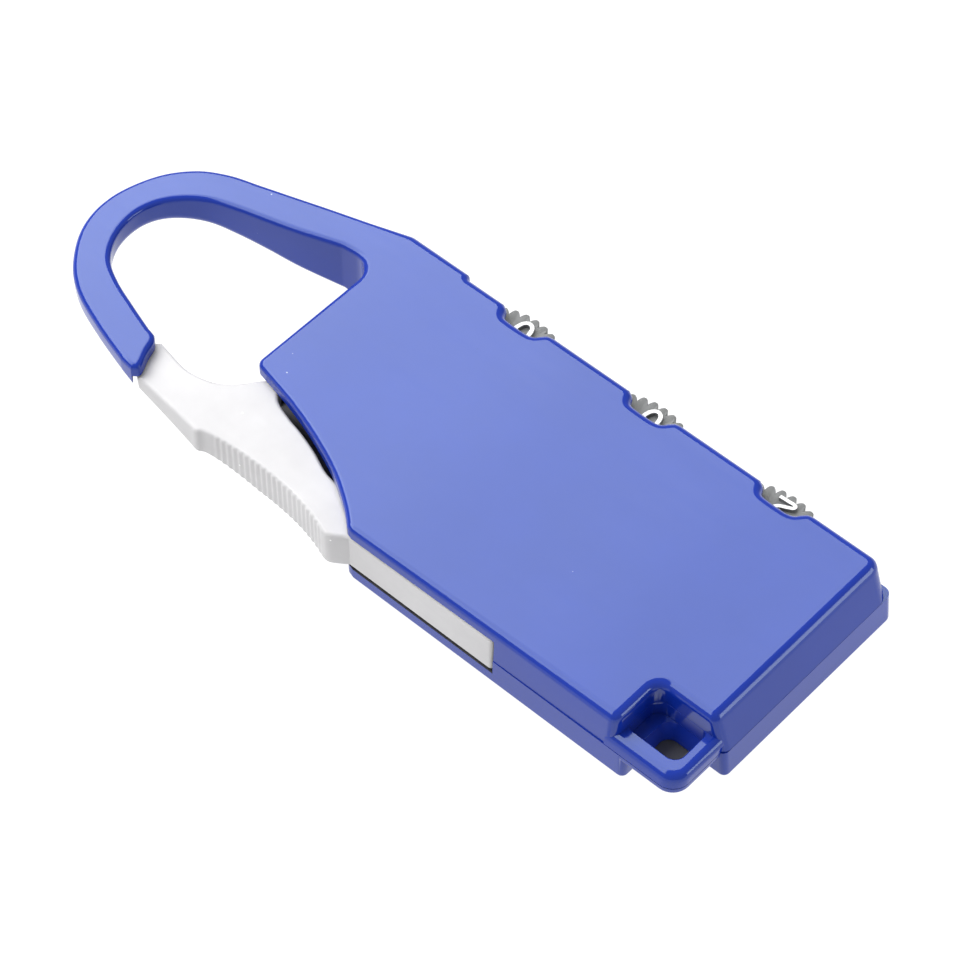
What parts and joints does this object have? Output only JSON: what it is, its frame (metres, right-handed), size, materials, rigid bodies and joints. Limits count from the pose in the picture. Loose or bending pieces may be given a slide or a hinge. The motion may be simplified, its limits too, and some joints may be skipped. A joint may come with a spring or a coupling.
{
  "type": "combination padlock",
  "caption": "Flat hook-shaped combination padlock with a swinging gate, edge-mounted number dials and a lanyard loop at one corner.",
  "frame": {"origin": "centre of the body's flat back face, the face the lock lies on in the picture", "axes": "+X towards the side where the dials stand out, +Y towards the hook, +Z out of the plain front face"},
  "size_m": [0.0326, 0.086, 0.0078],
  "materials": {
    "blue_paint": "gloss",
    "satin_zinc": "satin",
    "dial_grey": "satin",
    "steel": "satin",
    "brass": "satin"
  },
  "bodies": {
    "shell": {"front_shell": "blue_paint", "back_shell": "blue_paint", "gate_pivot_pin": "steel", "gate_spring": "steel", "bar_spring_1": "steel", "bar_spring_2": "steel", "code_disc_1": "brass", "code_disc_2": "brass", "code_disc_3": "brass", "wave_washer_1": "steel", "wave_washer_2": "steel", "wave_washer_3": "steel", "dial_post_1": "steel", "dial_post_2": "steel", "dial_post_3": "steel", "click_strip": "steel", "reset_spring": "steel", "rivet_1": "steel", "rivet_2": "steel", "rivet_3": "steel", "rivet_4": "steel", "rivet_5": "steel"},
    "gate": {"gate": "satin_zinc"},
    "bar": {"locking_bar": "brass"},
    "wheel_1": {"number_wheel_1": "dial_grey"},
    "wheel_2": {"number_wheel_2": "dial_grey"},
    "wheel_3": {"number_wheel_3": "dial_grey"},
    "reset": {"reset_plunger": "steel"}
  },
  "joints": [
    {"name": "gate_swing", "type": "hinge", "parent": "shell", "child": "gate", "pos_m": [-0.0129, -0.0057, 0.004], "axis": [0, 0, -1], "range_deg": [0, 12], "stiffness_Nm_per_rad": 0.05, "springref_deg": -17.19, "deforming": ["gate_spring"]},
    {"name": "bar_slide", "type": "slide", "parent": "shell", "child": "bar", "axis": [1, 0, 0], "range_m": [0, 0.0022], "deforming": ["bar_spring_1", "bar_spring_2"]},
    {"name": "wheel_1_turn", "type": "hinge", "parent": "shell", "child": "wheel_1", "pos_m": [0.00875, 0.0144, 0.005], "axis": [0, 0, 1], "continuous": true},
    {"name": "wheel_2_turn", "type": "hinge", "parent": "shell", "child": "wheel_2", "pos_m": [0.00875, -0.0016, 0.005], "axis": [0, 0, 1], "continuous": true},
    {"name": "wheel_3_turn", "type": "hinge", "parent": "shell", "child": "wheel_3", "pos_m": [0.00875, -0.0176, 0.005], "axis": [0, 0, 1], "continuous": true},
    {"name": "reset_press", "type": "slide", "parent": "shell", "child": "reset", "axis": [0, 0, 1], "range_m": [0, 0.0008], "stiffness_N_per_m": 300, "springref_m": -0.001, "deforming": ["reset_spring"]}
  ],
  "couplings": [
    {"joint": "bar_slide", "follows": "gate_swing", "m_per_rad": 0.0105}
  ]
}
